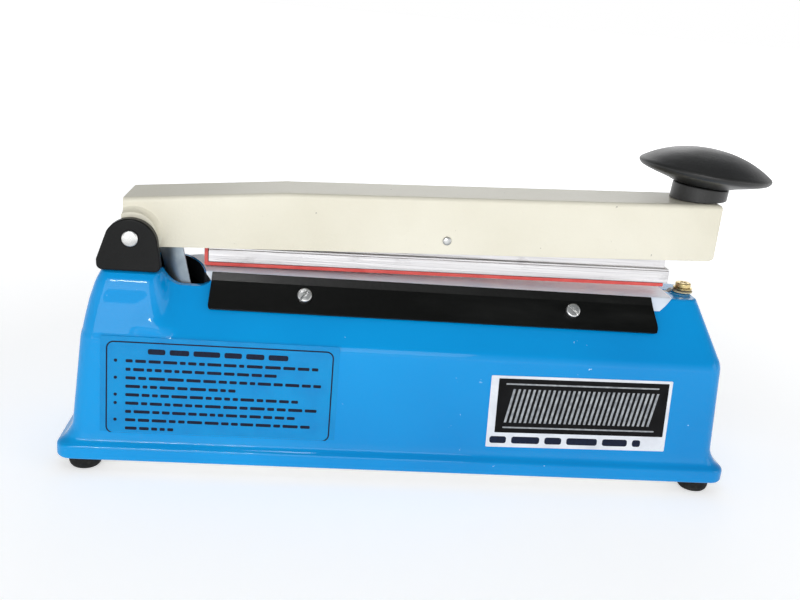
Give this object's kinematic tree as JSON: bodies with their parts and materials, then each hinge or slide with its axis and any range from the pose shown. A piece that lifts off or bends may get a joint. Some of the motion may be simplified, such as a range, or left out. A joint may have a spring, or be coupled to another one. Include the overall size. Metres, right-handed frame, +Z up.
{
  "type": "impulse heat sealer",
  "caption": "Hand-operated impulse heat sealer: hollow base with a sealing jaw along its ridge, and a hinged pressing arm with a round knob.",
  "frame": {"origin": "centre of the whole object's footprint box, on the surface the feet stand on", "axes": "+X along the machine from the hinge to the knob, +Y from the operator's front to the back, +Z up"},
  "size_m": [0.3221, 0.0929, 0.1605],
  "materials": {
    "blue_paint": "glossy stoved enamel",
    "cream_paint": "satin powder coat with fine grain",
    "black_paint": "satin black paint",
    "black_plastic": "satin moulded plastic",
    "rubber": "matt black rubber",
    "zinc": "zinc plated",
    "aluminium": "extruded, fine lengthwise lines",
    "brass": "nickel-tinted brass",
    "silicone": "matt red silicone",
    "ptfe": "PTFE coated glass cloth",
    "nichrome": "bare resistance ribbon",
    "insulation": "woven fibre tape and fibre bush",
    "laminations": "stacked steel laminations, varnished",
    "winding_tape": "amber polyester tape",
    "board": "solder-masked board",
    "relay_blue": "moulded relay case",
    "red_lens": "red signal lens",
    "wire_sleeve": "pale silicone sleeving"
  },
  "bodies": {
    "base": {"alarm_buzzer": "black_plastic", "base_plate": "zinc", "board_capacitor": "black_plastic", "bracket_screw_left": "zinc", "bracket_screw_right": "zinc", "clamp_plate_back": "black_paint", "clamp_plate_front": "black_paint", "clamp_screw_back_left": "zinc", "clamp_screw_back_right": "zinc", "clamp_screw_front_left": "zinc", "clamp_screw_front_right": "zinc", "cord_grommet": "rubber", "dial_plate": "aluminium", "foot_back_left": "rubber", "foot_back_right": "rubber", "foot_front_left": "rubber", "foot_front_right": "rubber", "foot_screw_back_left": "zinc", "foot_screw_back_right": "zinc", "foot_screw_front_left": "zinc", "foot_screw_front_right": "zinc", "heating_ribbon": "nichrome", "hinge_bracket": "black_plastic", "hinge_pin": "zinc", "housing": "blue_paint", "jaw_bar": "aluminium", "jaw_insulation": "insulation", "lamp_bezel": "zinc", "lamp_lens": "red_lens", "lead_wire_left": "wire_sleeve", "lead_wire_right": "wire_sleeve", "microswitch": "black_plastic", "potentiometer": "zinc", "potentiometer_nut": "zinc", "ptfe_cloth": "ptfe", "relay": "relay_blue", "return_spring": "zinc", "spring_seat": "zinc", "switch_bracket": "zinc", "switch_screw_lower": "zinc", "switch_screw_upper": "zinc", "terminal_bush": "insulation", "terminal_screw": "brass", "timer_board": "board", "transformer_clamp": "zinc", "transformer_core": "laminations", "transformer_screw_left": "zinc", "transformer_screw_right": "zinc", "transformer_winding": "winding_tape"},
    "arm": {"arm_shell": "cream_paint", "hinge_tube": "zinc", "lever_plate": "zinc", "bar_rivet": "zinc", "knob_collar": "black_plastic", "handle_knob": "black_plastic", "knob_screw": "zinc"},
    "pressing_bar": {"press_bar": "aluminium", "silicone_strip": "silicone"},
    "timer": {"timer_knob": "black_plastic"},
    "switch_arm": {"switch_lever": "zinc"}
  },
  "joints": [
    {"name": "arm_hinge", "type": "hinge", "parent": "base", "child": "arm", "pos_m": [-0.13035, -0.00645, 0.1063], "axis": [0, -1, 0], "range_deg": [-0.6, 23], "deforming": ["return_spring"]},
    {"name": "pressing_bar_rocker", "type": "hinge", "parent": "arm", "child": "pressing_bar", "pos_m": [0.00905, -0.00645, 0.11159], "axis": [0, -1, 0], "range_deg": [-0.05, 1.3]},
    {"name": "timer_turn", "type": "hinge", "parent": "base", "child": "timer", "pos_m": [0.06495, 0.02892, 0.0402], "axis": [0, 0.9982, 0.0593], "range_deg": [-270, 0]},
    {"name": "switch_lever_hinge", "type": "hinge", "parent": "base", "child": "switch_arm", "pos_m": [-0.12225, -0.00005, 0.0622], "axis": [0, 1, 0], "range_deg": [-0.25, 8.1]}
  ],
  "couplings": [
    {"joint": "pressing_bar_rocker", "follows": "arm_hinge", "ratio": 0.055},
    {"joint": "switch_lever_hinge", "follows": "arm_hinge", "ratio": 0.35}
  ]
}
